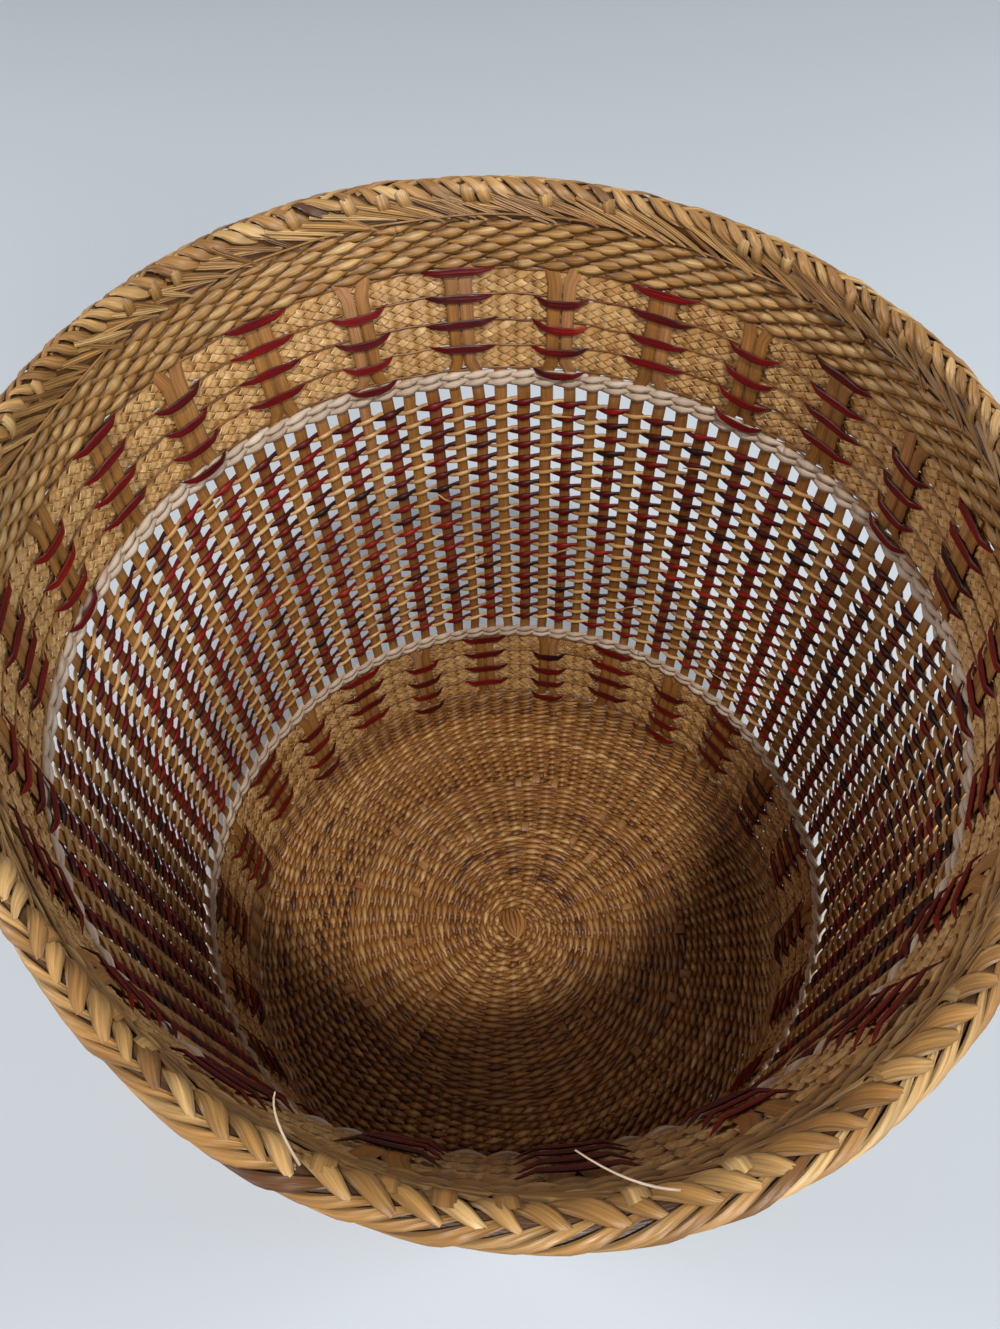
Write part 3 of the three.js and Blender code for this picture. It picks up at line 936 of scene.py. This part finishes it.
# %% Lay the herringbone
RIM_STRIPS = 132
SPINE = -1.0
STRIP_TILT = 0.28
STRIP_SLIP = 0.9
STRIP_PROUD = 0.22
STRIP_BREADTHS = (0.8, 1.12)
OUTSIDE_FROM = (-11, 15.0)
OUTSIDE_TO = (36, SPINE - 0.6)
OUTSIDE_LIFTS = np.array((-0.4, 0.4, 0.6, 0.7, 0.7, 0.5, -0.4))
OUTSIDE_WIDTHS = np.array((0.7, 0.95, 1.05, 1.05, 1.0, 0.8, 0.5))
OUTSIDE_POINTS = 24
LEAF_FROM = -6.6
LEAF_TO = (12.5, SPINE + 1.1)
LEAF_LIFTS = np.array((-0.4, 0.3, 0.7, 0.9, 0.9, 0.3))
LEAF_WIDTHS = np.array((0.6, 0.95, 1.1, 1.05, 0.95, 0.75, 0.4))
LEAF_POINTS = 11

outside_strips = []
inside_leaves = []
for index in range(RIM_STRIPS):
    at = index * ROUND / RIM_STRIPS
    slip, slide, shift = rng.normal(0, STRIP_SLIP, 3)
    proud = rng.normal(0, STRIP_PROUD)
    broad_outside, broad_leaf = rng.uniform(*STRIP_BREADTHS, 2)
    foot = (at + OUTSIDE_FROM[0] + slip, OUTSIDE_FROM[1])
    head = (at + OUTSIDE_TO[0] + slide, OUTSIDE_TO[1])
    lifts = OUTSIDE_LIFTS + proud
    widths = broad_outside * OUTSIDE_WIDTHS
    outside_strips.append(leaning_strip(foot, head, lifts, widths, OUTSIDE_POINTS, STRIP_TILT))
    foot = (at + slide, LEAF_FROM + shift / 2)
    head = (at + LEAF_TO[0] + shift, LEAF_TO[1])
    lifts = LEAF_LIFTS - proud
    widths = broad_leaf * LEAF_WIDTHS
    inside_leaves.append(leaning_strip(foot, head, lifts, widths, LEAF_POINTS, -STRIP_TILT))
print("strips of the herringbone:", len(outside_strips) + len(inside_leaves))

# %% [markdown]
# ## Lower tier and tabs
# Under the leaves a lower tier of strip ends lies on the inside, thin and less orderly. Between the leaves
# the flat ends of about every second stake show as short upright tabs.

# %% Lay the lower tier and the tabs
LOWER_STRIPS = 200
LOWER_FROM = -12.8
LOWER_TO = (21, -4.9)
LOWER_SLIP = 3
LOWER_SLACK = 0.8
LOWER_LIFTS = np.array((0.7, 0.7, 0.8, 0.9, 0.6))
LOWER_PROUD = 0.25
LOWER_WIDTHS = (0.35, 0.85, 1.05, 1.0, 0.8)
LOWER_POINTS = 9
LOWER_TILT = 0.2
TAB_CHANCE = 0.5
TAB_SLIP = 1.2
TAB_FROM = -8.4
TAB_SLACK = 0.6
TAB_HEIGHT = 6
TAB_LEAN = 0.8
TAB_LIFTS = (0.3, 1.3, 1.7, 1.7, 0.9)
TAB_WIDTHS = (0.9, 1, 1, 1, 0.95)
TAB_POINTS = 6
TAB_TONE = 0.75

lower_strips = []
for index in range(LOWER_STRIPS):
    at = index * ROUND / LOWER_STRIPS
    loose, slack, stray = rng.normal(0, 1, 3)
    foot = (at + LOWER_SLIP * loose, LOWER_FROM + LOWER_SLACK * slack)
    head = (at + LOWER_TO[0] + LOWER_SLIP * slack, LOWER_TO[1] + LOWER_SLACK * stray)
    lifts = LOWER_LIFTS + LOWER_PROUD * stray
    lower_strips.append(leaning_strip(foot, head, lifts, LOWER_WIDTHS, LOWER_POINTS, LOWER_TILT * loose))
rim_tabs = []
for index in range(STAKES):
    if rng.random() < TAB_CHANCE:
        at = (index + 0.5) * PITCH + rng.normal(0, TAB_SLIP)
        low = TAB_FROM + rng.normal(0, TAB_SLACK)
        lean = rng.normal(TAB_LEAN, TAB_SLACK)
        head = (at + lean, low + TAB_HEIGHT)
        rim_tabs.append(leaning_strip((at, low), head, TAB_LIFTS, TAB_WIDTHS, TAB_POINTS, 0.0, TAB_TONE))
print("lower strips:", len(lower_strips), "and tabs:", len(rim_tabs))

# %% [markdown]
# ## The rim put together
# The strips lie over a plain core, which stands for the stake ends inside the rim and closes the gaps
# between the strips. Its dark tone is a painted shade in those gaps. One thin wandering strand finishes the
# lower edge inside. The core is laid on the first flat cloth, because it stands in the wall, and the rest
# is folded over it.

# %% Weave the rim
CORE_SIZE = (12.4, 4.2)
CORE_DROP = 4.3
# A dark tone, a painted shade in the gaps between the rim strips
CORE_SHADE_TONE = 0.1
CORE_POINTS = 2 * STAKES + 1
RIM_PIECES = (("rim_outside_plait", outside_strips, (2.7, 1.0)),
              ("rim_inside_plait", inside_leaves, (3.2, 1.0)),
              ("rim_lower_plait", lower_strips, (1.9, 0.8)),
              ("rim_spine_tabs", rim_tabs, (4.0, 0.5)))
EDGE_SIZE = (0.9, 0.8)
EDGE_DOWN = -12.2
EDGE_WANDER = (0.9, 30)
EDGE_LIFT = 0.5
EDGE_LIFT_WANDER = (0.5, 25)
EDGE_TONE = 0.5
EDGE_TONE_DRIFT = (0.2, 60)


def rim_core():
    along = np.linspace(0, ROUND, CORE_POINTS)
    middle = np.full((CORE_POINTS, 2), (RIM_CENTRE - CORE_DROP, RIM_LEAN))
    return strand(np.column_stack((along, middle)), CORE_SHADE_TONE)


def edge_strand():
    along = np.linspace(0, ROUND, STAKES + 1)
    down = EDGE_DOWN + uneven(along, *EDGE_WANDER)
    lift = EDGE_LIFT + uneven(along, *EDGE_LIFT_WANDER)
    tone = EDGE_TONE + uneven(along, *EDGE_TONE_DRIFT)
    return strand(np.column_stack((along, down, lift)), tone)


weave("rim_core", [rim_core()], FLAT, CORE_SIZE, rim_finish, ["rim_plait"])
for name, strips, size in RIM_PIECES:
    weave(name, strips, GROOVED, size, rim_finish, place=fold_over_rim)
weave("rim_edge_strands", [edge_strand()], TWISTED, EDGE_SIZE, rim_finish, place=fold_over_rim)

# %% [markdown]
# ## Stake ends on the base
# A hand-made basket is not quite tidy. Where stakes were added to the base their cut ends show as small
# square tabs, in two rough rings. They are flat strips, set where they lie, so they need no rolling up.

# %% Add the stake ends
CUT_SIZE = (4.6, 0.6)
CUT_REACHES = 4.6 * np.array((0, 0.5, 1))
CUT_LEVELS = BASE_MIDDLE + np.array((1.2, 2.5, 2.3))
CUT_TONES = (0.35, 0.75)
CUT_WIDTHS = (0.75, 1.05)
CUT_RINGS = ((GROUP_RADIUS + 2, GROUPS, 0.8), (PAIR_RADIUS - 3, 2 * GROUPS, 0.4))
CUT_SLIP = 0.1
CUT_SLIDE = 2.5


def as_it_lies(points):
    return np.asarray(points, dtype=float) * MM


def cut_end(angle, radius):
    reaches = radius + CUT_REACHES
    path = np.column_stack((reaches * math.cos(angle), reaches * math.sin(angle), CUT_LEVELS))
    return strand(path, rng.uniform(*CUT_TONES), rng.uniform(*CUT_WIDTHS))


cut_ends = []
for radius, count, chance in CUT_RINGS:
    for index in range(count):
        if rng.random() < chance:
            angle = 2 * math.pi * (index + 0.5 + rng.normal(0, CUT_SLIP)) / count
            cut_ends.append(cut_end(angle, radius + rng.normal(0, CUT_SLIDE)))
weave("base_stake_ends", cut_ends, FLAT, CUT_SIZE, stake_finish, place=as_it_lies)

# %% [markdown]
# ## The knot of the base
# A knot of straws closes the middle of the base. On top five straws lie in a fan and bow apart, and three
# more cross under them. Each is a short bowed strip that thins and dips at its ends.

# %% Tie the knot
KNOT_SIZE = (2.5, 1.3)
KNOT_REACH = 9.5
KNOT_TOP = 5.4
KNOT_BOTTOM = 1.2
KNOT_DIP = 0.9
KNOT_STEP_UP = 0.2
KNOT_BOW = 2.1
KNOT_TONES = (0.4, 0.7)
KNOT_SHARE = np.linspace(-1, 1, 9)
KNOT_HUMP = 1 - KNOT_SHARE ** 2
KNOT_WIDTHS = 1.05 - 0.6 * KNOT_SHARE ** 2
TOP_TURN = 100
TOP_FAN = 9
UNDER_TURN = 20
UNDER_FAN = 60


def knot_straw(turn, level, bow):
    angle = math.radians(turn)
    reach = KNOT_REACH * KNOT_SHARE
    x = reach * math.cos(angle) - bow * KNOT_HUMP * math.sin(angle)
    y = reach * math.sin(angle) + bow * KNOT_HUMP * math.cos(angle)
    z = level + KNOT_DIP * KNOT_HUMP - KNOT_DIP
    return strand(np.column_stack((x, y, z)), rng.uniform(*KNOT_TONES), KNOT_WIDTHS)


knot = [knot_straw(TOP_TURN + TOP_FAN * step, KNOT_TOP + KNOT_STEP_UP * abs(step), KNOT_BOW * step)
        for step in (-2, -1, 0, 1, 2)]
knot += [knot_straw(UNDER_TURN + UNDER_FAN * step, KNOT_BOTTOM, 0) for step in range(3)]
weave("base_knot", knot, TWISTED, KNOT_SIZE, weft_finish, place=as_it_lies)

# %% [markdown]
# ## Broken ends and loose fibres
# A few broken ends of straw stand out from the inside of the openwork, and two pale fibres have come loose
# at the near rim. A broken end is a strip of three points that tapers away from the wall. A fibre is a
# smooth bend from root to tip, drawn towards a point between them.

# %% Add the broken ends and the fibres
BROKEN_ENDS = 26
BROKEN_SIZE = (1.2, 0.5)
BROKEN_HEIGHTS = (OPENWORK[0] + 10, OPENWORK[1] - 6)
BROKEN_REACHES = (4, 10)
BROKEN_DROP = 3
BROKEN_OUTS = (-1.6, -2.6, -3.4)
BROKEN_WIDTHS = (1, 0.8, 0.4)
BROKEN_TONES = (0.6, 1)
BROKEN_BEND = (0.5, 0.4)
FIBRE_SIZE = (0.6, 0.5)
FIBRE_TONE = 0.35
FIBRE_POINTS = 9
FIBRE_WIDTHS = np.linspace(1, 0.5, FIBRE_POINTS)
FIBRES = (((-38.6, -153.1, 297), (-43.5, -146.0, 303), (-41.8, -143.3, 306)),
          ((24.7, -159.5, 297), (16.2, -159.8, 303), (7.5, -154.3, 306)))


def broken_end():
    along = rng.uniform(0, ROUND)
    height = rng.uniform(*BROKEN_HEIGHTS)
    reach = rng.uniform(*BROKEN_REACHES)
    drop = rng.normal(0, BROKEN_DROP)
    alongs = (along, along + BROKEN_BEND[0] * reach, along + reach)
    heights = (height, height + BROKEN_BEND[1] * drop, height + drop)
    path = np.column_stack((alongs, heights, BROKEN_OUTS))
    return strand(path, rng.uniform(*BROKEN_TONES), BROKEN_WIDTHS)


def bent_fibre(root, middle, tip):
    share = np.linspace(0, 1, FIBRE_POINTS)[:, None]
    from_root = (1 - share) ** 2 * np.array(root)
    past_middle = 2 * share * (1 - share) * np.array(middle)
    path = from_root + past_middle + share ** 2 * np.array(tip)
    return strand(path, FIBRE_TONE, FIBRE_WIDTHS)


broken_ends = [broken_end() for _ in range(BROKEN_ENDS)]
weave("openwork_broken_ends", broken_ends, TWISTED, BROKEN_SIZE, braid_finish)
fibres = [bent_fibre(*places) for places in FIBRES]
weave("loose_fibres", fibres, TWISTED, FIBRE_SIZE, cream_finish, place=as_it_lies)

# %% [markdown]
# ## The floor
# The basket stands on a plain pale floor, which is not part of it. One face is enough. It is matt, so that
# it takes the basket's shadow and shows no reflection of the lamps.

# %% Lay the floor
FLOOR_HALF = 1.7
FLOOR_COLOUR = (203, 211, 220)
FLOOR_ROUGHNESS = 0.85

floor_mesh = bpy.data.meshes.new("floor")
floor_shape = bmesh.new()
bmesh.ops.create_grid(floor_shape, x_segments=1, y_segments=1, size=FLOOR_HALF)
floor_shape.to_mesh(floor_mesh)
floor_shape.free()
floor = bpy.data.objects.new("floor", floor_mesh)
floor_finish = bpy.data.materials.new("pale_floor")
floor_finish.use_nodes = True
floor_shader = floor_finish.node_tree.nodes["Principled BSDF"]
floor_shader.inputs["Base Color"].default_value = linear(FLOOR_COLOUR)
floor_shader.inputs["Roughness"].default_value = FLOOR_ROUGHNESS
floor_mesh.materials.append(floor_finish)
bpy.context.collection.objects.link(floor)
print("side of the floor:", 2 * FLOOR_HALF, "m")

# %% [markdown]
# ## The lamps
# A soft lamp high in front lights the far wall and the far part of the base and leaves the near part in the
# shade of the rim, as in the photograph. It is set far off, so that the shade keeps its edge. Weaker lamps
# in front and at the sides light the walls.

# %% Hang the lamps
BASKET_MIDDLE = Vector((0, 0, 0.15))
KEY_DIRECTION = Vector((24, -136, 300)).normalized()
KEY_DISTANCE = 4.0


def soft_lamp(name, place, size, power, colour):
    lamp_data = bpy.data.lights.new(name, "AREA")
    lamp_data.shape = "DISK"
    lamp_data.size = size
    lamp_data.energy = power
    lamp_data.color = colour
    lamp = bpy.data.objects.new(name, lamp_data)
    lamp.location = place
    lamp.rotation_euler = (BASKET_MIDDLE - Vector(place)).to_track_quat("-Z", "Y").to_euler()
    bpy.context.collection.objects.link(lamp)


key_place = BASKET_MIDDLE + KEY_DIRECTION * KEY_DISTANCE
soft_lamp("key_lamp", key_place, size=0.4, power=104, colour=(1.0, 0.97, 0.93))
soft_lamp("front_lamp", (1.0, -1.9, 1.5), size=0.7, power=20, colour=(0.95, 0.98, 1.0))
soft_lamp("right_lamp", (1.9, 0.1, 1.1), size=0.9, power=18, colour=(0.86, 0.95, 1.0))
soft_lamp("left_lamp", (-1.9, 0.3, 1.1), size=0.9, power=19, colour=(0.98, 0.98, 1.0))
print("lamps:", len(bpy.data.lights))

# %% [markdown]
# ## The room
# The world fills the shadows with a little warm light, as straw does when light bounces about in it. To the
# camera and in reflections it looks pale instead, so the kind of ray picks the colour.

# %% Fill the room
ROOM_LIGHT = (0.022, 0.013, 0.008, 1)
ROOM_LOOK = (186, 192, 199)

world = bpy.data.worlds.new("pale_room")
world.use_nodes = True
world_nodes = world.node_tree.nodes
world_links = world.node_tree.links
rays = world_nodes.new("ShaderNodeLightPath")
seen = rays.outputs["Is Camera Ray"]
for kind in ("Is Glossy Ray", "Is Transmission Ray"):
    either = world_nodes.new("ShaderNodeMath")
    either.operation = "ADD"
    either.use_clamp = True
    world_links.new(seen, either.inputs[0])
    world_links.new(rays.outputs[kind], either.inputs[1])
    seen = either.outputs["Value"]
room = world_nodes.new("ShaderNodeMix")
room.data_type = "RGBA"
room.inputs["A"].default_value = ROOM_LIGHT
room.inputs["B"].default_value = linear(ROOM_LOOK)
world_links.new(seen, room.inputs["Factor"])
world_links.new(room.outputs["Result"], world_nodes["Background"].inputs["Color"])
bpy.context.scene.world = world
bpy.context.scene.view_settings.view_transform = "Standard"
print("triangles in all:", sum(triangle_counts.values()))
